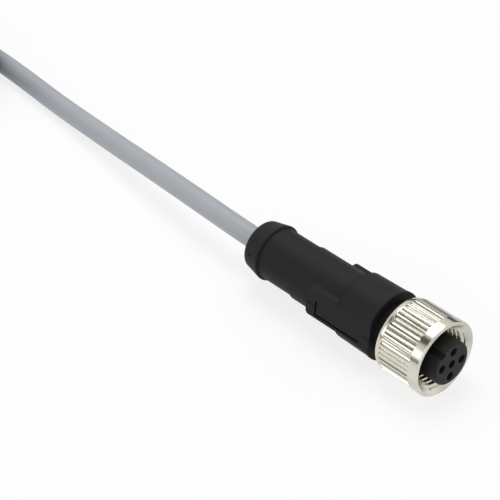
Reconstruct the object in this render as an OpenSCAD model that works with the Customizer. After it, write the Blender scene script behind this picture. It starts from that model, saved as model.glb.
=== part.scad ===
// Straight M12 socket connector moulded on a five-core cable.
// The connector lies along +X with its mating face at +X and the cable leaving at -X.
// The floor is z = 0, and the connector's ends are centred on x = 0.

/* [Connector] */
// Length from the rear rim of the grip to the face of the contact carrier
overall_l = 46.6; // [44:0.1:52]
// Turn of the whole connector about its own axis as it lies, in degrees
rest_turn = 6; // [0:1:20]

/* [Coupling nut] */
// Diameter of the smooth front collar, the widest part of the nut
nut_d = 14.6; // [14.4:0.1:16]
// Diameter over the ribs of the knurl
knurl_d = 14.4; // [14:0.1:14.4]
// Diameter of the plain ring behind the knurl
nut_ring_d = 13.9; // [13.6:0.1:13.9]
// Length of the nut
nut_l = 10.3; // [10:0.1:11]
// Distance of the nut's front rim behind the carrier's face
nut_setback = 1.5; // [1:0.1:2]
// Length of the smooth front collar, with its chamfer
nut_collar_l = 2.7; // [2:0.1:3.5]
// Length of the plain ring behind the knurl
nut_ring_l = 1.2; // [0.8:0.1:1.6]
// Number of ribs round the knurl
knurl_count = 44; // [36:2:52]
// Width of each groove between two ribs
knurl_groove_w = 0.46; // [0.3:0.02:0.5]
// Depth of each groove between two ribs
knurl_groove_d = 0.32; // [0.16:0.04:0.36]
// Bore of the nut at the crests of its M12 x 1 thread
thread_bore_d = 10.9; // [10.8:0.05:11]
// Diameter of the wide lead-in at the nut's mouth
lead_in_d = 12.1; // [11.9:0.1:12.4]
// Length of the lead-in cone
lead_in_l = 0.9; // [0.6:0.1:1.4]
// Thickness of the inner lip that carries the nut
nut_lip_l = 1.4; // [1.2:0.1:1.6]
// Radial running clearance between the lip and the sleeve's neck
nut_run_gap = 0.08; // [0.04:0.01:0.1]
// Axial clearance between the lip and the flange
nut_end_gap = 0.1; // [0.05:0.05:0.3]

/* [Contact carrier and retaining sleeve] */
// Diameter of the carrier's spigot
carrier_d = 8.3; // [8.1:0.05:8.4]
// Length of the spigot in front of the flange
spigot_l = 8.6; // [8:0.1:9]
// Diameter of the sleeve's flange, which holds the nut
flange_d = 10.3; // [9.8:0.1:10.4]
// Diameter of the sleeve's neck, which the nut turns on
neck_d = 9.2; // [8.8:0.1:9.4]
// Diameter of the sleeve's root inside the grip
root_d = 10; // [9.6:0.1:10.2]
// Length of the root inside the grip
root_l = 3.4; // [2.5:0.1:4]
// Width of the coding keyway
keyway_w = 1.1; // [0.8:0.05:1.2]
// Depth of the coding keyway
keyway_depth = 0.75; // [0.5:0.05:0.9]
// Chamfer round the carrier's face
face_chamfer = 0.25; // [0.1:0.05:0.4]

/* [Contacts] */
// Diameter of the circle that the four outer contacts stand on
contact_pcd = 5; // [4.8:0.05:5.1]
// Diameter of the tapered entry hole at its contact
entry_d = 1.44; // [1.4:0.02:1.5]
// Diameter of the tapered entry hole at the carrier's face
entry_mouth_d = 1.64; // [1.54:0.02:1.8]
// Diameter of the pin that a contact takes
pin_d = 1; // [0.8:0.05:1]
// Radial clearance of the pin in the contact
pin_gap = 0.03; // [0.01:0.01:0.05]
// Outside diameter of a contact
contact_d = 1.8; // [1.7:0.05:1.9]
// Length of a contact's socket
socket_l = 7; // [6:0.5:8]
// Distance of a contact's mouth behind the carrier's face
contact_setback = 0.9; // [0.6:0.1:1.2]
// Length of a contact's crimp barrel
crimp_l = 4; // [3:0.5:5]
// Width of the two spring slots in a contact's mouth
slot_w = 0.2; // [0.1:0.05:0.3]

/* [Grip] */
// Diameter of the rear rim round the cable
rim_d = 9.7; // [9.2:0.1:10]
// Diameter of the collar at its front edge
collar_d = 11.1; // [10.8:0.1:11.6]
// Length of the flared collar
collar_l = 4.2; // [3.5:0.1:5]
// Diameter of the shaft in front of the collar
shaft_d = 10.2; // [9.8:0.1:10.4]
// Length of the shaft
shaft_l = 7.7; // [6:0.1:9]
// Diameter of the stepped length in front of the shaft
step_d = 10.7; // [10.5:0.1:10.9]
// Diameter of the front section at its rear edge
front_rear_d = 13; // [12.8:0.1:13.2]
// Diameter of the front section at its front edge
front_d = 13.3; // [13.1:0.1:13.5]
// Length of the front section
front_l = 8.2; // [7:0.1:9]
// Gap between the grip's front face and the nut
nut_grip_gap = 2; // [1.6:0.1:2.4]
// Diameter of the lip at the grip's front face
lip_d = 13.5; // [13.4:0.1:13.8]
// Distance of the two side flats from the axis
flat_h = 5.96; // [5.9:0.01:6.1]
// Length of the raised pad that carries each flat on behind the front section
pad_l = 7.1; // [6.4:0.1:8]
// Width of each raised pad
pad_w = 5.8; // [5.4:0.1:6.2]
// Width of the relief groove in the flat
groove_w = 0.42; // [0.3:0.02:0.5]
// Depth of the relief groove in the flat
groove_depth = 0.5; // [0.3:0.05:0.6]

/* [Cable] */
// Outside diameter of the cable
cable_d = 4.2; // [3.8:0.1:4.6]
// Outside diameter of one core's insulation
core_d = 1.2; // [1:0.05:1.3]
// Diameter of one core's bare strand
strand_d = 0.7; // [0.5:0.05:0.75]
// Length of each stripped lead at the free end
lead_l = 34; // [20:1:40]
// Length of each bare tip at the free end
tip_l = 6; // [4:1:8]

/* [Hank] */
// Distance from the grip's rim to the middle of the hank's near loop
hank_distance = 98.7; // [98:0.1:110]
// Distance between the middles of the hank's two loops
hank_run = 71; // [60:1:80]
// Distance of the hank's outer turn from the connector's axis, across the floor
hank_shift = 9; // [4:0.5:10]
// Layers of cable in the hank
hank_layers = 4; // [3:1:5]
// Width of the tie round the hank
tie_w = 8; // [6:0.5:12]
// Thickness of the tie
tie_t = 1; // [0.6:0.1:1.5]
// Width over which the five leads fan out
lead_spread = 6.4; // [6:0.2:9]

/* [Seal] */
// Diameter of the rubber ring's section
seal_section_d = 1; // [0.8:0.05:1.1]
// Depth of the ring's seat below the spigot's surface
ring_seat_depth = 0.2; // [0.18:0.02:0.3]

/* [Hidden] */
$fn = 96;
seat_gap = 0.02;                                   // clearance between pieces moulded or pressed together
face_x = overall_l / 2;                            // place of the carrier's face
rear_x = face_x - overall_l;                       // place of the grip's rear rim
axis_z = nut_d / 2;                                // height of the axis: the nut's collar lies on the floor
nut_front_x = face_x - nut_setback;
nut_rear_x = nut_front_x - nut_l;
flange_front_x = face_x - spigot_l;
flange_rear_x = nut_rear_x + nut_lip_l + nut_end_gap;
ring_seat_r = carrier_d / 2 - ring_seat_depth;
ring_front_x = flange_front_x + seal_section_d + 0.15;  // front end of the ring's seat
grip_front_x = nut_rear_x - nut_grip_gap;
front_rear_x = grip_front_x - front_l;
collar_front_x = rear_x + collar_l;
shaft_front_x = collar_front_x + shaft_l;
root_rear_x = grip_front_x - root_l;
contact_front_x = face_x - contact_setback;
contact_rear_x = contact_front_x - socket_l - crimp_l;
crimp_front_x = contact_front_x - socket_l;
crimp_d = contact_d - 0.1;
mould_inset = 2;                                   // inner mould's rear end ahead of the collar
mould_rear_x = collar_front_x + mould_inset;
jacket_grip_l = 6;                                 // length of jacket held inside the inner mould
jacket_end_x = mould_rear_x + jacket_grip_l;
grip_wall = 1.5;                                   // wall of the grip round the inner mould
mould_d = shaft_d - 2 * grip_wall;
cavity_d = contact_d + 2 * seat_gap;
core_cavity_d = contact_d + 0.3;                   // wider end of a cavity, for the core that bends away
bundle_r = core_d * 1.02;                          // radius on which five cores lie in the round cable
core_gap = 0.3;                                    // bare strand between a crimp barrel and its core's insulation
rim_round = 0.6;                                   // round of the rear rim
collar_round = 0.35;                               // round of the collar's front edge
step_chamfer = 0.3;                                // slope between the shaft and the stepped length
front_edge = 0.15;                                 // small chamfer of the front section's edges
lip_back = 0.9;                                    // where the lip starts to rise, behind the grip's front face
lip_slope_l = 0.4;                                 // length of that rise
pad_round = 0.7;                                   // round of a pad's rear corners
pad_rear_x = front_rear_x - pad_l;
groove_low_w = 1.9;                                // the long groove lies this far below the middle line
groove_bar_up_w = 0.75;                            // the cross groove ends this far above it
groove_start = 5;                                  // the cross groove lies this far behind the front section
groove_end = 2.3;                                  // the long groove ends this far behind the grip's front face
hair_line = 0.12;                                  // depth of the fine parting lines
hair_w = 0.2;                                      // width of the fine parting lines
hair_low_w = 0.5;                                  // they lie this far below the middle line
mark_d = 0.5;                                      // small round mark in the collar
mark_depth = 0.3;
mark_back = 1.9;                                   // its distance from the rear rim
mark_turn = 83;                                    // its turn round the grip
core_names = ["brown", "white", "blue", "black", "grey"];
core_colors = ["#6b4226", "#e8e6e0", "#2b5fa8", "#1c1c1e", "#85888a"];

// Cable behind the rim, chosen by hand: distance behind the rim, then its parts of the hank's shift and of the axis height
route_plan = [[-3.7, 0, 1], [3.7, 0.011, 1], [11.7, 0.056, 0.98], [19.7, 0.122, 0.93], [27.7, 0.222, 0.79],
              [35.7, 0.344, 0.62], [43.7, 0.467, 0.42], [51.7, 0.589, 0.25], [59.7, 0.7, 0.1], [67.7, 0.778, 0.02],
              [75.7, 0.867, 0], [hank_distance - 3.05 * cable_d, 0.961, 0]];  // it ends where it meets the hank
cable_r = cable_d / 2;
route = concat([[jacket_end_x, 0, axis_z]],
               [for (p = route_plan) [rear_x - p[0], hank_shift * p[1], cable_r + (axis_z - cable_r) * p[2]]]);
hank_h = hank_layers * cable_d;
hank_loop_r = 4 * cable_d + cable_r;               // outer radius of a loop of two turns side by side
hank_waist_w = 2 * cable_d;                        // half width where the tie holds two turns a side
hank_y = hank_shift - 4 * cable_d;                 // middle line of the hank: the cable runs into its outer turn
hank_near_x = rear_x - hank_distance;              // middle of the hank's near loop
hank_far_x = hank_near_x - hank_run;               // middle of the hank's far loop
tie_x = (hank_near_x + hank_far_x) / 2;
tie_slack = 0.5;                                   // room for the free end under the tie
// Free end of the cable, lying along the top of the hank: distance from the tie and shift from the hank's middle line
tail_plan = [[-27, -15.4], [-19, -10.8], [-12, -5.2], [-6, -1.4], [0, 0], [7, 0], [15, 0]];
tail_route = [for (p = tail_plan) [tie_x + p[0], hank_y + p[1], hank_h + cable_r + seat_gap]];

// ---- shared shapes ----

// Stands the children on the connector's axis, turned as the connector lies
module on_axis() translate([0, 0, axis_z]) rotate([-rest_turn, 0, 0]) children();

// A solid of revolution about the axis from an outline of [x, radius] points
module turned(outline) rotate([0, 90, 0]) rotate_extrude() polygon([for (p = outline) [p.y, p.x]]);

// A round bar along the axis from x0 to x1
module bar(x0, x1, d) translate([x0, 0, 0]) rotate([0, 90, 0]) cylinder(d = d, h = x1 - x0);

// Points of a quarter round of radius r about [cx, cr], between the angles a0 and a1
function round_pts(cx, cr, r, a0, a1, steps = 4) =
    [for (i = [0:steps]) let (a = a0 + (a1 - a0) * i / steps) [cx + r * cos(a), cr + r * sin(a)]];

// Place of contact i across the axis, as [y, z]: four on the circle and the fifth in the middle
function contact_at(i) = i == 4 ? [0, 0] : contact_pcd / 2 * [-sin(90 * i), cos(90 * i)];

// Place of core i in the round cable, chosen so that no two cross on their way to the contacts
function core_at(i) = let (turn = [0, 72, 144, 288, 216][i]) bundle_r * [-sin(turn), cos(turn)];

function unit(v) = v / norm(v);

// A round tube swept along a route of points, as one closed polyhedron
module swept(points, d, sides) {
    n = len(points);
    dirs = [for (i = [0:n - 1]) unit(points[min(i + 1, n - 1)] - points[max(i - 1, 0)])];
    rings = [for (i = [0:n - 1])
        let (side = unit(cross(dirs[i], [0, 0, 1])), up = cross(side, dirs[i]))
        for (k = [0:sides - 1]) points[i] + d / 2 * (cos(360 * k / sides) * side + sin(360 * k / sides) * up)];
    walls = [for (i = [0:n - 2]) for (k = [0:sides - 1])
        let (a = i * sides + k, b = i * sides + (k + 1) % sides) [a, b, b + sides, a + sides]];
    caps = [[for (k = [sides - 1:-1:0]) k], [for (k = [0:sides - 1]) (n - 1) * sides + k]];
    polyhedron(points = rings, faces = concat(walls, caps), convexity = 4);
}

// ---- grip ----

// Outline of the moulded grip along its axis
function grip_outline() = concat(
    [[rear_x, 0]],
    round_pts(rear_x + rim_round, rim_d / 2 - rim_round, rim_round, 180, 100),
    round_pts(collar_front_x - collar_round, collar_d / 2 - collar_round, collar_round, 100, 0),
    [[collar_front_x, shaft_d / 2], [shaft_front_x, shaft_d / 2], [shaft_front_x + step_chamfer, step_d / 2],
     [front_rear_x, step_d / 2], [front_rear_x, front_rear_d / 2 - front_edge],
     [front_rear_x + front_edge, front_rear_d / 2], [grip_front_x - lip_back, front_d / 2],
     [grip_front_x - lip_back + lip_slope_l, lip_d / 2], [grip_front_x - front_edge, lip_d / 2],
     [grip_front_x, lip_d / 2 - front_edge], [grip_front_x, 0]]);

// A raised pad on the near side, behind the front section
module pad() {
    half = pad_w / 2;
    corner = half - pad_round;
    rotate([90, 0, 0]) linear_extrude(lip_d / 2)
        polygon(concat([[front_rear_x + 1, half]],
                       round_pts(pad_rear_x + pad_round, corner, pad_round, 90, 180),
                       round_pts(pad_rear_x + pad_round, -corner, pad_round, 180, 270),
                       [[front_rear_x + 1, -half]]));
}

// A straight groove cut into the flat, from x0 to x1 along it and w0 to w1 across it
module flat_groove(x0, x1, w0, w1, depth)
    translate([x0, -lip_d, w0]) cube([x1 - x0, lip_d - flat_h + depth, w1 - w0]);

// The flat and its relief lines, all cut from the near side
module side_panel_cut() {
    bar_x = front_rear_x - groove_start;
    line_end = grip_front_x - groove_end;
    flat_groove(pad_rear_x - 1, grip_front_x + 1, -lip_d / 2, lip_d / 2, 0);
    flat_groove(bar_x, bar_x + groove_w, -groove_low_w - groove_w, groove_bar_up_w, groove_depth);
    flat_groove(bar_x, line_end, -groove_low_w - groove_w, -groove_low_w, groove_depth);
    flat_groove(pad_rear_x - 1, bar_x + hair_line / 2, -hair_low_w, -hair_low_w + hair_w, hair_line);
    flat_groove(line_end + hair_w, grip_front_x + 1, -hair_low_w, -hair_low_w + hair_w, hair_line);
}

module grip_body() {
    color("#232426") on_axis() difference() {
        union() {
            turned(grip_outline());
            pad();
            rotate([180, 0, 0]) pad();
        }
        side_panel_cut();
        rotate([180, 0, 0]) side_panel_cut();
        // parting line behind the front section, over the top between the pads
        difference() {
            bar(front_rear_x - hair_w, front_rear_x, lip_d);
            bar(front_rear_x - 2 * hair_w, front_rear_x + 1, step_d - groove_depth);
            translate([front_rear_x - 1, -lip_d, -lip_d]) cube([2, 2 * lip_d, lip_d + pad_w / 2 + hair_w]);
        }
        // small round mark in the collar
        rotate([mark_turn, 0, 0])
            translate([rear_x + mark_back, 0, (rim_d + collar_d) / 4 - mark_depth]) cylinder(d = mark_d, h = collar_l);
        // seats of the sleeve's root, the inner mould and the cable
        bar(root_rear_x - seat_gap, grip_front_x + 1, root_d + 2 * seat_gap);
        bar(mould_rear_x - seat_gap, root_rear_x, mould_d + 2 * seat_gap);
        bar(rear_x - 1, mould_rear_x, cable_d + 2 * seat_gap);
    }
}

// ---- inner mould ----

module inner_mould() {
    color("#d9d4c4") on_axis() difference() {
        bar(mould_rear_x, root_rear_x - seat_gap, mould_d);
        for (i = [0:4]) core_path(i, core_d + 4 * seat_gap, contact_rear_x - core_gap);
        bar(mould_rear_x - 1, jacket_end_x + seat_gap, cable_d + 2 * seat_gap);
    }
}

// ---- contact carrier ----

module contact_carrier() {
    color("#2b2c2e") on_axis() difference() {
        turned([[face_x, 0], [face_x, carrier_d / 2 - face_chamfer], [face_x - face_chamfer, carrier_d / 2],
                [ring_front_x, carrier_d / 2], [ring_front_x, ring_seat_r], [root_rear_x, ring_seat_r], [root_rear_x, 0]]);
        // coding keyway between contacts 1 and 2
        rotate([45, 0, 0]) translate([ring_front_x, -keyway_w / 2, carrier_d / 2 - keyway_depth])
            cube([spigot_l + 1, keyway_w, keyway_depth + 1]);
        for (i = [0:4]) translate([0, contact_at(i)[0], contact_at(i)[1]]) {
            translate([contact_front_x, 0, 0]) rotate([0, 90, 0])
                cylinder(d1 = entry_d, d2 = 2 * entry_mouth_d - entry_d, h = 2 * contact_setback);
            bar(contact_rear_x - 1, contact_front_x + seat_gap, cavity_d);
            bar(root_rear_x - 1, contact_rear_x, core_cavity_d);
        }
    }
}

// ---- retaining sleeve ----

// The sleeve round the carrier: its flange and neck hold the nut, and its root is moulded into the grip
module retaining_sleeve() {
    bore_r = ring_seat_r + seat_gap;
    color("#2b2c2e") on_axis()
        turned([[flange_front_x, bore_r], [flange_front_x, flange_d / 2], [flange_rear_x, flange_d / 2],
                [flange_rear_x, neck_d / 2], [grip_front_x, neck_d / 2], [grip_front_x, root_d / 2],
                [root_rear_x, root_d / 2], [root_rear_x, bore_r]]);
}

// ---- sealing ring ----

module sealing_ring() {
    r = seal_section_d / 2;
    color("#1a1a1b") on_axis() translate([flange_front_x + r + seat_gap, 0, 0])
        rotate([0, 90, 0]) rotate_extrude() translate([ring_seat_r + r + seat_gap, 0]) circle(r = r);
}

// ---- coupling nut ----

module coupling_nut() {
    front_chamfer = 0.4;
    relief_l = 1.6;
    lip_x = nut_rear_x + nut_lip_l;
    knurl_rear_x = nut_rear_x + nut_ring_l;
    knurl_front_x = nut_front_x - nut_collar_l;
    color("#c9c6bd") on_axis() difference() {
        turned([[nut_front_x, lead_in_d / 2], [nut_front_x, nut_d / 2 - front_chamfer],
                [nut_front_x - front_chamfer, nut_d / 2], [knurl_front_x, nut_d / 2],
                [knurl_front_x, knurl_d / 2], [knurl_rear_x + 0.25, knurl_d / 2], [knurl_rear_x, nut_ring_d / 2],
                [nut_rear_x + 0.3, nut_ring_d / 2], [nut_rear_x, nut_ring_d / 2 - 0.3],
                [nut_rear_x, neck_d / 2 + nut_run_gap], [lip_x, neck_d / 2 + nut_run_gap],
                [lip_x, lead_in_d / 2], [lip_x + relief_l, lead_in_d / 2],
                [lip_x + relief_l + 0.3, thread_bore_d / 2], [nut_front_x - lead_in_l, thread_bore_d / 2]]);
        for (i = [0:knurl_count - 1]) rotate([360 * i / knurl_count, 0, 0])
            translate([knurl_rear_x + 0.06, 0, knurl_d / 2 - knurl_groove_d])
                rotate([90, 0, 90]) linear_extrude(knurl_front_x - knurl_rear_x - 0.12)
                    polygon([[-knurl_groove_w / 6, 0], [knurl_groove_w / 6, 0],
                             [knurl_groove_w * 5 / 6, 2 * knurl_groove_d], [-knurl_groove_w * 5 / 6, 2 * knurl_groove_d]]);
    }
}

// ---- contacts ----

// Contact i: a split spring socket in front and a crimp barrel behind
module contact_socket(i) {
    floor_l = 0.6;
    color("#c8a04a") on_axis() translate([0, contact_at(i)[0], contact_at(i)[1]]) difference() {
        union() {
            bar(crimp_front_x, contact_front_x, contact_d);
            bar(contact_rear_x, crimp_front_x + 0.1, crimp_d);
        }
        bar(crimp_front_x + floor_l, contact_front_x + 1, pin_d + 2 * pin_gap);
        translate([contact_front_x - 2.5, -contact_d, -slot_w / 2]) cube([3, 2 * contact_d, slot_w]);
        bar(contact_rear_x - 1, crimp_front_x - floor_l, strand_d + 2 * seat_gap);
    }
}

// ---- cores ----

// The way of core i from its contact's barrel back to the cut end of the jacket
module core_path(i, d, front_x) {
    rod([jacket_end_x + seat_gap, core_at(i)[0], core_at(i)[1]], [front_x, contact_at(i)[0], contact_at(i)[1]], d);
}

// A round rod between two points
module rod(a, b, d) {
    v = b - a;
    translate(a) rotate([0, acos(v.z / norm(v)), atan2(v.y, v.x)]) cylinder(d = d, h = norm(v));
}

module core(i) {
    color(core_colors[i]) on_axis() core_path(i, core_d, contact_rear_x - core_gap);
}

module crimped_strands() {
    color("#b87333") on_axis() for (i = [0:4]) translate([0, contact_at(i)[0], contact_at(i)[1]])
        bar(contact_rear_x - core_gap + 0.05, crimp_front_x - 1, strand_d);
}

// ---- cable ----

module cable_jacket() {
    color("#8d9092") swept(route, cable_d, 10);
}

// Outline of the tied hank from above: two round loops drawn in at a waist
function half_loop(cx, from) = [for (a = [from:12:from + 180]) [cx + hank_loop_r * cos(a), hank_y + hank_loop_r * sin(a)]];
function waist(side) = let (flat = tie_w / 2 + 1, half = (hank_near_x - hank_far_x) / 2)
    [for (i = [-4, -3, -2, -1, 1, 2, 3, 4]) let (t = (abs(i) - 1) / 4, ease = t * t * (3 - 2 * t))
        [tie_x - side * sign(i) * (flat + (half - flat - 2) * t),
         hank_y + side * (hank_waist_w + (hank_loop_r - hank_waist_w) * ease)]];

module cable_hank() {
    color("#8d9092") difference() {
        linear_extrude(hank_h)
            polygon(concat(half_loop(hank_near_x, -90), waist(1), half_loop(hank_far_x, 90), waist(-1)));
        translate([tie_x - tie_w / 2 - seat_gap, hank_y - 2 * hank_waist_w, -1])
            cube([tie_w + 2 * seat_gap, 4 * hank_waist_w, 1 + tie_t + seat_gap]);
    }
}

module cable_tail() {
    color("#8d9092") swept(tail_route, cable_d, 10);
}

module hank_tie() {
    half = hank_waist_w + seat_gap;
    ridge = cable_r + tie_slack;
    top = hank_h + cable_d + tie_slack / 2;
    color("#2a2b2d") translate([tie_x - tie_w / 2, hank_y, 0]) rotate([90, 0, 90]) linear_extrude(tie_w)
        difference() {
            polygon([[-half - tie_t, 0], [half + tie_t, 0], [half + tie_t, hank_h + tie_t / 2], [ridge + tie_slack, top + tie_t],
                     [-ridge - tie_slack, top + tie_t], [-half - tie_t, hank_h + tie_t / 2]]);
            polygon([[-half, tie_t], [half, tie_t], [half, hank_h + seat_gap], [ridge, top],
                     [-ridge, top], [-half, hank_h + seat_gap]]);
        }
}

// ---- free end ----

// Way of lead i from the cut end of the jacket, spread over the top of the hank
function lead_way(i, from, to) =
    let (start = tail_route[len(tail_route) - 1], c = core_at(i), spread = lead_spread / 2 * [0, -1, -0.5, 1, 0.5][i])
    [for (s = [from:(to - from) / 6:to + 0.001])
        let (t = min(1, s / 16), ease = t * t * (3 - 2 * t))
        [start.x + 0.1 + s,
         start.y + c[0] * (1 - ease) + spread * ease * (1 + s / 40),
         start.z + c[1] * (1 - ease) - (start.z - hank_h - core_d / 2 - 0.05) * ease]];

module lead(i) {
    color(core_colors[i]) swept(lead_way(i, 0, lead_l), core_d, 8);
}

module lead_tips() {
    color("#bfc2c4") for (i = [0:4]) swept(lead_way(i, lead_l, lead_l + tip_l), strand_d, 8);
}

grip_body();
inner_mould();
contact_carrier();
retaining_sleeve();
sealing_ring();
coupling_nut();
contact_socket(0);  // contact_socket_1
contact_socket(1);  // contact_socket_2
contact_socket(2);  // contact_socket_3
contact_socket(3);  // contact_socket_4
contact_socket(4);  // contact_socket_5
core(0);  // core_brown
core(1);  // core_white
core(2);  // core_blue
core(3);  // core_black
core(4);  // core_grey
crimped_strands();
cable_jacket();
cable_hank();
cable_tail();
hank_tie();
lead(0);  // lead_brown
lead(1);  // lead_white
lead(2);  // lead_blue
lead(3);  // lead_black
lead(4);  // lead_grey
lead_tips();
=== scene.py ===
import bmesh
import bpy
import math
from mathutils import Matrix, Vector


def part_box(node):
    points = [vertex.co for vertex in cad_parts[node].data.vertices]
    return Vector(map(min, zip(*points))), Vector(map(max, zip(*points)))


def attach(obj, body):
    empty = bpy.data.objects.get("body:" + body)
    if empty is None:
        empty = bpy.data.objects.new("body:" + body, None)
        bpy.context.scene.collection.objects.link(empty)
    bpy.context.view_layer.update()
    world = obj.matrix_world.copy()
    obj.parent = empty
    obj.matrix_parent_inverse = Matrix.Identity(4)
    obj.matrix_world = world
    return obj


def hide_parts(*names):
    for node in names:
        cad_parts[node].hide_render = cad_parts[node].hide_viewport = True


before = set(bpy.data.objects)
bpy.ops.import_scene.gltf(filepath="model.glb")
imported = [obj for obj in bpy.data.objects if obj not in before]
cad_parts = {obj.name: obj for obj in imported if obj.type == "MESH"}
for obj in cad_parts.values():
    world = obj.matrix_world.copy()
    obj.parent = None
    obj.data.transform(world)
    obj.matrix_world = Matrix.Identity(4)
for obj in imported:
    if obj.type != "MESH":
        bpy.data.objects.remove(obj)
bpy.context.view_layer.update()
MM = 0.001

# Camera: a long lens from above the front left, as in a catalogue view. The
# connector runs along X with its mating face at +X, and its axis is AXIS_Z high.
carrier_box = [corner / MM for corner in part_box("contact_carrier")]
FACE_X = round(carrier_box[1][0], 3)
AXIS_Z = round((carrier_box[0][2] + carrier_box[1][2]) / 2, 3)
LOOK_DOWN, LOOK_ACROSS = 37.3, 46.6


def add_object(name, data):
    """A new object in the scene, at the origin."""
    made = bpy.data.objects.new(name, data)
    bpy.context.scene.collection.objects.link(made)
    return made


camera = add_object("camera", bpy.data.cameras.new("camera"))
camera.data.lens = 148.5
camera.data.sensor_width = 36
camera.data.clip_start = 0.01
camera.data.clip_end = 10
camera.location = Vector((FACE_X + 170.2, -208.1, AXIS_Z + 227.5)) * MM
camera.rotation_euler = (math.radians(90 - LOOK_DOWN), 0, math.radians(LOOK_ACROSS))
bpy.context.scene.camera = camera
bpy.context.scene.view_settings.view_transform = "Standard"

# Cable: one round grey lead of 2 m, five stranded cores in an extruded sheath. It
# leaves the grip straight, comes down to the floor, and is wound into a hank of
# seven and a half turns.
CABLE_D = 4.2
CABLE_R = CABLE_D / 2
REAR_X = round(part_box("grip_body")[0][0] / MM, 3)
HANK_Y = 9 - 4 * CABLE_D
NEAR_X = REAR_X - 98.7
FAR_X = NEAR_X - 71
TIE_X = (NEAR_X + FAR_X) / 2
TIE_W = 8
# A run stays narrow for TIE_MARGIN beyond the tie, less OUTER_SHORTER for each
# millimetre that it lies further out, and is wide again LOOP_MARGIN before the loop.
TIE_MARGIN, OUTER_SHORTER, LOOP_MARGIN = 1, 0.35, 3
LOOP_R = 3 * CABLE_D
TURN_POINTS = 96
# As shares of a turn: where the cable starts to cross to its next place, how much
# earlier it does so turn by turn, and how long it takes. The last turn climbs on
# top of the others.
CROSS_FROM, CROSS_EARLIER, CROSS_RUN = 0.78, 0.1, 0.2
CLIMB_FROM, CLIMB_RUN = 0.13, 0.15


def smooth(t):
    """0 before 0, 1 after 1, and an even rise between."""
    t = min(1, max(0, t))
    return t * t * (3 - 2 * t)


def lane(radius, waist, x):
    """How far a run lies from the hank's middle line: waist at the tie, radius at the loops."""
    narrow = TIE_W / 2 + TIE_MARGIN - OUTER_SHORTER * (waist - CABLE_R)
    widening = (NEAR_X - FAR_X - TIE_W) / 2 - LOOP_MARGIN
    return waist + (radius - waist) * smooth((abs(x - TIE_X) - narrow) / widening)


def on_turn(radius, waist, u):
    """Place on a turn of the hank: out along +Y, round the far loop, back along -Y, round the near loop."""
    run, bend = NEAR_X - FAR_X, math.pi * radius
    s = u * 2 * (run + bend)
    if s < run:
        return NEAR_X - s, HANK_Y + lane(radius, waist, NEAR_X - s)
    s -= run
    if s < bend:
        a = math.pi / 2 + s / radius
        return FAR_X + radius * math.cos(a), HANK_Y + radius * math.sin(a)
    s -= bend
    if s < run:
        return FAR_X + s, HANK_Y - lane(radius, waist, FAR_X + s)
    a = -math.pi / 2 + (s - run) / radius
    return NEAR_X + radius * math.cos(a), HANK_Y + radius * math.sin(a)


# From the grip to the hank: distance behind the grip, place along Y, and height over
# where the cable lies, as a share of the axis's height.
lead_in = [(-3.7, 0, 1), (3.7, 0.1, 1), (11.7, 0.5, 0.98), (19.7, 1.1, 0.93), (27.7, 2, 0.79),
           (35.7, 3.1, 0.62), (43.7, 4.2, 0.42), (51.7, 5.3, 0.25), (59.7, 6.3, 0.1),
           (67.7, 7, 0.02), (75.7, 7.8, 0), (86, 8.65, 0)]
route = [(REAR_X - d, y, CABLE_R + (AXIS_Z - CABLE_R) * h) for d, y, h in lead_in]
# Each turn's place in the hank: its layer from the floor, and 1 outside or 0 inside.
slots = [(0, 1), (0, 0), (1, 0), (1, 1), (2, 1), (2, 0), (3, 0), (3, 1)]
for k, (layer, outer) in enumerate(slots):
    is_last = k == len(slots) - 1
    next_layer, next_outer = slots[k] if is_last else slots[k + 1]
    for i in range(TURN_POINTS // 2 if is_last else TURN_POINTS):
        u = i / TURN_POINTS
        crossed = 0 if is_last else smooth((u - (CROSS_FROM - CROSS_EARLIER * k)) / CROSS_RUN)
        climbed = smooth((u - CLIMB_FROM) / CLIMB_RUN) if is_last else 0
        height = layer + (next_layer - layer) * crossed + climbed
        out = outer + (next_outer - outer) * crossed
        x, y = on_turn(LOOP_R + CABLE_D * out, CABLE_R + CABLE_D * out, u)
        route.append((x, y, CABLE_R + CABLE_D * height))
# The free end on top of the hank: distance in front of the far loop's middle, shift
# from the hank's middle line, and height in diameters.
free_end = [(1.5, -16.8, 4), (5, -16.4, 4), (8.5, -15.4, 4), (16.5, -10.8, 4), (23.5, -5.2, 4),
            (29.5, -1.4, 4), (35.5, 0, 4), (42.5, 0, 4), (50.5, 0, 4)]
route += [(FAR_X + d, HANK_Y + y, CABLE_R + CABLE_D * h) for d, y, h in free_end]


def round_curve(name, radius, rounds):
    """A curve that is drawn as a round wire, closed at its ends."""
    made = bpy.data.curves.new(name, "CURVE")
    made.dimensions = "3D"
    made.bevel_depth = radius * MM
    made.bevel_resolution = rounds
    made.use_fill_caps = True
    return made


curve = round_curve("cable", CABLE_R, 6)
curve.resolution_u = 2
spline = curve.splines.new("NURBS")
spline.points.add(len(route) - 1)
for point, place in zip(spline.points, route):
    point.co = (*(c * MM for c in place), 1)
spline.order_u = 4
spline.use_endpoint_u = True
cable = add_object("cable", curve)


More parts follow.
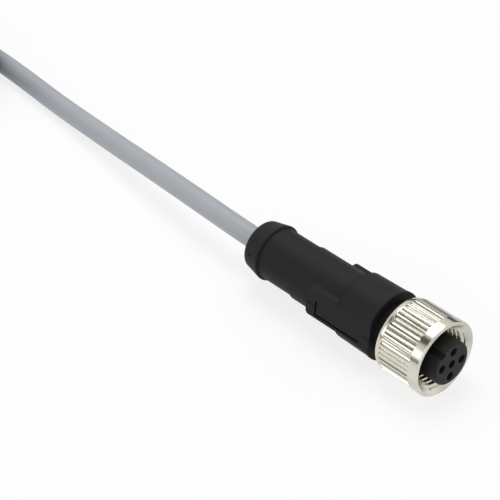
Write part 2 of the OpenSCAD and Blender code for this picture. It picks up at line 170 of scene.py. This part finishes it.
class Socket:
    """A shader value that can be added, multiplied and compared like a number."""

    def __init__(self, tree, link):
        self.tree = tree
        self.link = link

    def node(self, kind, settings=(), out=0, **values):
        """A new node: type, settings, output to use, and sockets by name or as i and a number."""
        made = self.tree.nodes.new(kind)
        for name, value in dict(settings).items():
            setattr(made, name, value)
        for name, value in values.items():
            socket = made.inputs[int(name[1:]) if name[1:].isdigit() else name.replace("_", " ")]
            if isinstance(value, Socket):
                self.tree.links.new(value.link, socket)
            else:
                socket.default_value = value
        return Socket(self.tree, made.outputs[out])

    def math(self, operation, first, second):
        """A Math node on two values."""
        return self.node("ShaderNodeMath", {"operation": operation}, i0=first, i1=second)

    def __add__(self, other):
        return self.math("ADD", self, other)

    def __sub__(self, other):
        return self.math("SUBTRACT", self, other)

    def __rsub__(self, other):
        return self.math("SUBTRACT", other, self)

    def __mul__(self, other):
        return self.math("MULTIPLY", self, other)

    def __gt__(self, other):
        return self.math("GREATER_THAN", self, other)

    def __lt__(self, other):
        return self.math("LESS_THAN", self, other)

    __radd__ = __add__
    __rmul__ = __mul__

    def shade(self, low, high):
        """A colour between two, this value choosing."""
        return self.node("ShaderNodeMix", {"data_type": "RGBA"}, 2, i0=self, i6=(*low, 1), i7=(*high, 1))

    def noise(self, scale, detail=2):
        """Soft blotches round this place, about 1 / scale metres across."""
        return self.node("ShaderNodeTexNoise", Vector=self, Scale=scale, Detail=detail)


def start_material(name):
    """A new material: its shader node, and the object's own coordinates."""
    material = bpy.data.materials.new(name)
    material.use_nodes = True
    tree = material.node_tree
    shader = tree.nodes["Principled BSDF"]
    place = Socket(tree, None).node("ShaderNodeTexCoord", out=3)
    return material, tree, shader, place


def connect(tree, shader, colour=None, rough=None, height=None, depth=0.0001, strength=0.3, edge=None):
    """Links what changes over the surface; height goes through a bump, and edge rounds the corners."""
    if colour is not None:
        tree.links.new(colour.link, shader.inputs["Base Color"])
    if rough is not None:
        tree.links.new(rough.link, shader.inputs["Roughness"])
    start = Socket(tree, None)
    normal = start.node("ShaderNodeBevel", {"samples": 6}, Radius=edge) if edge else None
    if height is not None:
        values = {"Strength": strength, "Distance": depth, "Height": height}
        if normal:
            values["Normal"] = normal
        normal = start.node("ShaderNodeBump", **values)
    if normal:
        tree.links.new(normal.link, shader.inputs["Normal"])


grey_sheath, tree, shader, place = start_material("grey_sheath")
mottle = place.noise(140, 4)
grain = place.noise(2600)
sheath_grey = mottle.shade((0.33, 0.35, 0.38), (0.37, 0.39, 0.42))
connect(tree, shader, sheath_grey, 0.36 + 0.2 * mottle, grain, depth=0.00004, strength=0.25)
cable.data.materials.append(grey_sheath)
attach(cable, "connector")
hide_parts("cable_jacket", "cable_hank", "cable_tail")

# Leads: the sheath is cut back at the free end, and the five insulated cores
# fan out over the hank. Each ends in a short tinned tip of twisted strand.
CORE_D, STRAND_D, LEAD_L, TIP_L = 1.2, 0.7, 34, 6
CORE_COLOURS = {"brown": (0.13, 0.05, 0.02), "white": (0.78, 0.76, 0.71), "blue": (0.02, 0.10, 0.42),
                "black": (0.012, 0.012, 0.013), "grey": (0.22, 0.24, 0.25)}
# Where each core lies in the sheath, in degrees from the top, and how far it fans out.
CORE_TURNS = (0, 72, 144, 288, 216)
CORE_FANS = (0, -3.2, -1.6, 3.2, 1.6)
FAN_L = 16
LEADS_X = TIE_X + 15
HANK_H = 4 * CABLE_D


def lead_place(i, s):
    """Place on lead i, s mm from the cut end of the sheath."""
    turn, ease = math.radians(CORE_TURNS[i]), smooth(s / FAN_L)
    out = CORE_D * 1.02
    start_z = HANK_H + CABLE_R + 0.02
    y = -out * math.sin(turn) * (1 - ease) + CORE_FANS[i] * ease * (1 + s / 40)
    z = start_z + out * math.cos(turn) * (1 - ease) - (start_z - HANK_H - CORE_D / 2 - 0.05) * ease
    return Vector((LEADS_X + s, HANK_Y + y, z)) * MM


def lead_wire(name, i, start, end, radius):
    """A stretch of lead i as a mesh, from start to end mm from the sheath."""
    shape = round_curve(name, radius, 4)
    strand = shape.splines.new("POLY")
    strand.points.add(16)
    for n, point in enumerate(strand.points):
        point.co = (*lead_place(i, start + (end - start) * n / 16), 1)
    drawn = add_object(name + "_line", shape)
    wire = bpy.data.meshes.new_from_object(drawn.evaluated_get(bpy.context.evaluated_depsgraph_get()))
    bpy.data.objects.remove(drawn)
    piece = add_object(name, wire)
    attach(piece, "connector")
    return piece


tin, tree, shader, place = start_material("tinned_strand")
shader.inputs["Metallic"].default_value = 1.0
mottle = place.noise(3000)
tin_tone = mottle.shade((0.5, 0.5, 0.5), (0.75, 0.75, 0.76))
connect(tree, shader, tin_tone, 0.25 + 0.2 * mottle, mottle, depth=0.00005, strength=0.5)
insulation = {}
for i, (core_name, colour) in enumerate(CORE_COLOURS.items()):
    insulation[core_name], tree, shader, place = start_material(f"insulation_{core_name}")
    mottle = place.noise(500, 3)
    connect(tree, shader, mottle.shade([c * 0.85 for c in colour], colour), 0.28 + 0.15 * mottle)
    lead = lead_wire(f"free_lead_{core_name}", i, 0, LEAD_L, CORE_D / 2)
    lead.data.materials.append(insulation[core_name])
    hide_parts(f"lead_{core_name}")
    tip = lead_wire(f"tip_{core_name}", i, LEAD_L, LEAD_L + TIP_L, STRAND_D / 2)
    tip.data.materials.append(tin)
    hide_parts("lead_tips")

# Tie: a soft dark strap with a felt face, laid round the middle of the hank and
# over the free end. It is cut from one strip and closed on itself.
TIE_T = 1
# Half the strap's width inside, and its ridge over the free end: half width, height.
HALF_W = 2 * CABLE_D
RIDGE_W, RIDGE_H = CABLE_R + 0.5, HANK_H + CABLE_D + 0.25


def mesh_object(name, form):
    """A new object from a finished bmesh."""
    mesh = bpy.data.meshes.new(name)
    form.to_mesh(mesh)
    form.free()
    return add_object(name, mesh)


strip = bmesh.new()
inside = [(-HALF_W, TIE_T), (HALF_W, TIE_T), (HALF_W, HANK_H),
          (RIDGE_W, RIDGE_H), (-RIDGE_W, RIDGE_H), (-HALF_W, HANK_H)]
loop = [strip.verts.new((TIE_X - TIE_W / 2, HANK_Y + y, z)) for y, z in inside]
edges = [strip.edges.new((loop[i - 1], loop[i])) for i in range(len(loop))]
drawn_out = bmesh.ops.extrude_edge_only(strip, edges=edges)["geom"]
far_side = [part for part in drawn_out if isinstance(part, bmesh.types.BMVert)]
bmesh.ops.translate(strip, verts=far_side, vec=(TIE_W, 0, 0))
bmesh.ops.recalc_face_normals(strip, faces=strip.faces)
bmesh.ops.scale(strip, verts=strip.verts, vec=(MM, MM, MM))
tie = mesh_object("tie_strap", strip)
wall = tie.modifiers.new("thickness", "SOLIDIFY")
wall.thickness = TIE_T * MM
wall.offset = 1
rounded = tie.modifiers.new("edges", "BEVEL")
rounded.width = 0.3 * MM
rounded.segments = 3
felt, tree, shader, place = start_material("felt_strap")
fibres = place.noise(4000, 4)
felt_tone = fibres.shade((0.012, 0.012, 0.014), (0.045, 0.045, 0.048))
connect(tree, shader, felt_tone, 0.75 + 0.2 * fibres, fibres, depth=0.0002, strength=0.6)
tie.data.materials.append(felt)
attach(tie, "connector")
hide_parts("hank_tie")

# Coupling nut: turned and knurled brass, nickel plated, free to turn behind the
# sleeve's flange. The bore has an M12 x 1 thread, and the front collar and the
# rear ring are left smooth.
NUT_FRONT, NUT_REAR = FACE_X - 1.5, FACE_X - 11.8
KNURL_FRONT, KNURL_REAR = NUT_FRONT - 2.1, NUT_REAR + 1.2
COLLAR_R, KNURL_R, RING_R = 7.3, 7.2, 6.98
LIP_R, RECESS_R, CREST_R = 4.68, 6.05, 5.46
THREAD_FROM, THREAD_TO = NUT_REAR + 3.2, NUT_FRONT - 0.9
THREAD_RINGS, THREAD_DEPTH = 56, 0.54
RIBS, STEPS = 44, 8
# How deep the knurl is at each of a rib's eight steps: a flat crest and a V groove.
RIB_DEPTHS = (0, 0, 0, 0.03, 0.3, 0.34, 0.3, 0.03)
# The nut's section as places along X and radii: the lead-in and the front edge,
rings = [(THREAD_TO, CREST_R), (NUT_FRONT - 0.75, 5.95), (NUT_FRONT - 0.12, 6.6), (NUT_FRONT - 0.03, 6.7),
         (NUT_FRONT, 6.78), (NUT_FRONT, 6.95), (NUT_FRONT - 0.05, 7.05), (NUT_FRONT - 0.19, 7.21),
         (NUT_FRONT - 0.28, 7.26), (NUT_FRONT - 0.38, 7.28)]
# the smooth collar with its shoulder,
rings += [(KNURL_FRONT + 0.25, 7.28), (KNURL_FRONT + 0.15, COLLAR_R), (KNURL_FRONT, COLLAR_R),
          (KNURL_FRONT - 0.06, KNURL_R), (KNURL_FRONT - 0.1, KNURL_R)]
# the knurl, the rear ring and its rounded edge,
rings += [(KNURL_REAR + 0.25, KNURL_R), (KNURL_REAR + 0.21, 7.19), (KNURL_REAR, RING_R),
          (NUT_REAR + 0.48, RING_R), (NUT_REAR + 0.42, 6.95), (NUT_REAR + 0.36, 6.9),
          (NUT_REAR + 0.1, 6.62), (NUT_REAR, 6.5)]
# the lip behind the sleeve's flange and the recess for the flange,
rings += [(NUT_REAR, LIP_R), (NUT_REAR + 1.4, LIP_R), (NUT_REAR + 1.4, RECESS_R), (NUT_REAR + 3.0, RECESS_R)]
# and the bore, with about nine rings to a pitch of the thread.
rings += [(THREAD_FROM + (THREAD_TO - THREAD_FROM) * i / THREAD_RINGS, CREST_R) for i in range(THREAD_RINGS)]
nut_form = bmesh.new()
outline = [nut_form.verts.new((x, 0, r)) for x, r in rings]
outline_edges = [nut_form.edges.new((outline[i - 1], outline[i])) for i in range(len(outline))]
bmesh.ops.spin(nut_form, geom=outline + outline_edges, cent=(0, 0, 0), axis=(1, 0, 0), angle=2 * math.pi,
               steps=RIBS * STEPS, use_merge=True)
bmesh.ops.remove_doubles(nut_form, verts=nut_form.verts, dist=0.0005)
for v in nut_form.verts:
    r, angle = math.hypot(v.co.y, v.co.z), math.atan2(-v.co.y, v.co.z)
    turned = angle / (2 * math.pi)
    deeper = 0
    if r > KNURL_R - 0.005 and KNURL_REAR + 0.22 < v.co.x < KNURL_FRONT - 0.08:
        deeper = RIB_DEPTHS[round(turned * RIBS * STEPS) % STEPS]
    elif r < CREST_R + 0.04:
        across_pitch = (v.co.x + turned) % 1
        deeper = -THREAD_DEPTH * smooth(1.25 * (1 - abs(2 * across_pitch - 1)) - 0.1)
    v.co.y = v.co.y * (r - deeper) / r
    v.co.z = v.co.z * (r - deeper) / r + AXIS_Z
bmesh.ops.recalc_face_normals(nut_form, faces=nut_form.faces)
bmesh.ops.scale(nut_form, verts=nut_form.verts, vec=(MM, MM, MM))
for face in nut_form.faces:
    face.smooth = True
nut = mesh_object("knurled_nut", nut_form)
nut.data.set_sharp_from_angle(angle=math.radians(32))
nickel, tree, shader, place = start_material("nickel_plate")
shader.inputs["Metallic"].default_value = 1.0
# The base colour carries painted reflection. Light and dark streaks stretched along the axis stand in for
# mirrored studio light, and a finer cloud adds random tone.
painted_sheen = place.node("ShaderNodeMapping", Vector=place, Scale=(0.04, 1, 1)).noise(190, 1.5)
cloud = place.noise(300, 3)
pits = place.noise(2500)
painted_sheen_and_cloud = 2.6 * painted_sheen - 0.8 + 0.15 * cloud
nickel_with_painted_sheen = painted_sheen_and_cloud.shade((0.46, 0.44, 0.38), (0.69, 0.665, 0.585))
connect(tree, shader, nickel_with_painted_sheen, 0.15 + 0.1 * cloud, pits, depth=0.00003, strength=0.2)
nut.data.materials.append(nickel)
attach(nut, "nut")
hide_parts("coupling_nut")

# Grip: black polyurethane moulded over the cable and the carrier's root. The
# mould leaves a very fine grain and slightly soft corners. Behind the front
# section, over the top only, a thin near-black line is painted shade along the
# seam at the step's edge.
# Where the painted shade line lies: its distance behind the grip's front, its width, and its foot over the
# axis.
SEAM_SHADE_BACK, SEAM_SHADE_W, SEAM_SHADE_FOOT = 8.2, 0.2, 3.1


def dress(node_name, finish):
    """Gives a carried-over piece its finish, in every material slot."""
    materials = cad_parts[node_name].data.materials
    if not materials:
        materials.append(finish)
    for i in range(len(materials)):
        materials[i] = finish


grip_black, tree, shader, place = start_material("grip_black")
mottle = place.noise(220, 4)
grain = place.noise(5200, 3)
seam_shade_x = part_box("grip_body")[1][0] - SEAM_SHADE_BACK * MM
x_place, z_place = (place.node("ShaderNodeSeparateXYZ", out=axis, Vector=place) for axis in (0, 2))
# A thin band over the top, near-black and rough, is painted shade along the seam where the front section's
# edge hides the step behind it.
seam_shade = (x_place > seam_shade_x) * (x_place < seam_shade_x + SEAM_SHADE_W * MM) * (z_place > (AXIS_Z + SEAM_SHADE_FOOT) * MM)
black = mottle.shade((0.009, 0.0091, 0.0094), (0.0145, 0.0146, 0.015))
black = seam_shade.node("ShaderNodeMix", {"data_type": "RGBA"}, 2, i0=seam_shade, i6=black, i7=(0.001, 0.001, 0.001, 1))
connect(tree, shader, black, 0.5 + 0.16 * mottle + 0.4 * seam_shade, grain - 6 * seam_shade,
        depth=0.00005, strength=0.35, edge=0.0002)
shader.inputs["Specular IOR Level"].default_value = 0.14
dress("grip_body", grip_black)

# Carrier and sleeve: the black insert with its keyed spigot, which holds the
# contacts, and the sleeve round it that the nut turns on. Both are injection
# moulded and held fast by the grip.
carrier_black, tree, shader, place = start_material("carrier_black")
grain = place.noise(3500, 3)
carrier_tone = grain.shade((0.010, 0.010, 0.0105), (0.016, 0.016, 0.0165))
connect(tree, shader, carrier_tone, 0.45 + 0.12 * grain, grain, depth=0.00004, strength=0.3, edge=0.00012)
shader.inputs["Specular IOR Level"].default_value = 0.16
dress("contact_carrier", carrier_black)
dress("retaining_sleeve", carrier_black)

# Sealing ring: a moulded black rubber ring, stretched into a shallow seat at
# the foot of the spigot. It seals against the mating connector's rim.
ring_rubber, tree, shader, place = start_material("ring_rubber")
connect(tree, shader, rough=0.5 + 0.1 * place.noise(900))
shader.inputs["Base Color"].default_value = (0.01, 0.01, 0.01, 1)
dress("sealing_ring", ring_rubber)

# Inner mould: a first moulding in cream plastic, which locks the cores behind
# the contacts. The grip is moulded over it and hides it.
mould_cream, tree, shader, place = start_material("mould_cream")
cloud = place.noise(400, 3)
connect(tree, shader, cloud.shade((0.55, 0.52, 0.42), (0.66, 0.63, 0.54)), 0.5 + 0.1 * cloud)
dress("inner_mould", mould_cream)

# Contacts: five turned gold-plated sockets, pressed into the carrier from behind.
# Only their mouths are seen, deep in the carrier's holes.
gold, tree, shader, place = start_material("gold_plate")
shader.inputs["Metallic"].default_value = 1.0
cloud = place.noise(900)
connect(tree, shader, cloud.shade((0.70, 0.44, 0.14), (0.85, 0.58, 0.22)), 0.2 + 0.15 * cloud)
for i in range(1, 6):
    dress(f"contact_socket_{i}", gold)

# Cores and strands: inside the grip the cable's five insulated cores run to the
# contacts. Their bare copper strands are crimped in the contacts' barrels.
copper, tree, shader, place = start_material("bare_copper")
shader.inputs["Metallic"].default_value = 1.0
cloud = place.noise(2500)
connect(tree, shader, cloud.shade((0.6, 0.25, 0.12), (0.8, 0.38, 0.2)), 0.3 + 0.2 * cloud)
dress("crimped_strands", copper)
for core_name in CORE_COLOURS:
    dress(f"core_{core_name}", insulation[core_name])

# Floor and room: a pale table that stays white to the camera and in mirrors but
# keeps a soft shadow, and an even bright room round it.


def seen_straight(start):
    """1 for what the camera sees straight, in a mirror or through glass, else 0."""
    total = sum(start.node("ShaderNodeLightPath", out=ray) for ray in (0, 3, 6))
    return total.math("MINIMUM", total, 1)


floor_form = bmesh.new()
bmesh.ops.create_grid(floor_form, x_segments=1, y_segments=1, size=3)
floor = mesh_object("floor", floor_form)
pale, tree, shader, place = start_material("pale_floor")
shader.inputs["Base Color"].default_value = (0.9, 0.9, 0.9, 1)
shader.inputs["Roughness"].default_value = 0.7
whiteness = 0.8 * seen_straight(place)
white = place.node("ShaderNodeEmission", Color=(1, 1, 1, 1), Strength=1.0)
both = place.node("ShaderNodeMixShader", i0=whiteness, i1=Socket(tree, shader.outputs[0]), i2=white)
tree.links.new(both.link, tree.nodes["Material Output"].inputs["Surface"])
floor.data.materials.append(pale)
world = bpy.data.worlds.new("room")
bpy.context.scene.world = world
world.use_nodes = True
tree = world.node_tree
level = 0.55 + 0.45 * seen_straight(Socket(tree, None))
tree.nodes["Background"].inputs["Color"].default_value = (1, 1, 1, 1)
tree.links.new(level.link, tree.nodes["Background"].inputs["Strength"])

# Lamps: a large soft one overhead, a fill from the front right, and a small one
# low at the left that lights the nut's side. Each has its place, size and power.
for name, lamp_at, size, power in (("key", (-0.2, 0.15, 0.7), 0.45, 2.7),
                                   ("fill", (0.5, -0.6, 0.35), 0.5, 0.7),
                                   ("side", (-0.36, -0.62, 0.27), 0.28, 0.6)):
    lamp = bpy.data.lights.new(name, "AREA")
    lamp.size = size
    lamp.energy = power
    holder = add_object(name, lamp)
    holder.location = lamp_at
    holder.rotation_euler = (Vector((0, 0, 0)) - Vector(lamp_at)).to_track_quat("-Z", "Y").to_euler()

# Dark cards stand at both sides of the table and hang between the lamps. Only
# polished metal mirrors them, which gives it the dark bands of a real studio.
card_black, tree, shader, place = start_material("card_black")
shader.inputs["Base Color"].default_value = (0.02, 0.02, 0.02, 1)
shader.inputs["Specular IOR Level"].default_value = 0
for name, centre, length, width, tilt in (("card_near", (-0.25, -0.5, 0.045), 0.7, 0.09, 90),
                                          ("card_far", (-0.25, 0.5, 0.12), 0.7, 0.17, 90),
                                          ("card_above", (-0.37, -0.32, 0.61), 0.5, 0.26, 27)):
    turned_up = Matrix.Rotation(math.radians(tilt), 4, "X")
    hung = Matrix.Translation(centre) @ turned_up @ Matrix.Diagonal((length, width, 1, 1))
    card_form = bmesh.new()
    bmesh.ops.create_grid(card_form, x_segments=1, y_segments=1, size=0.5, matrix=hung)
    card = mesh_object(name, card_form)
    card.data.materials.append(card_black)
    card.visible_camera = False
    card.visible_diffuse = False
    card.visible_shadow = False
    card.visible_transmission = False
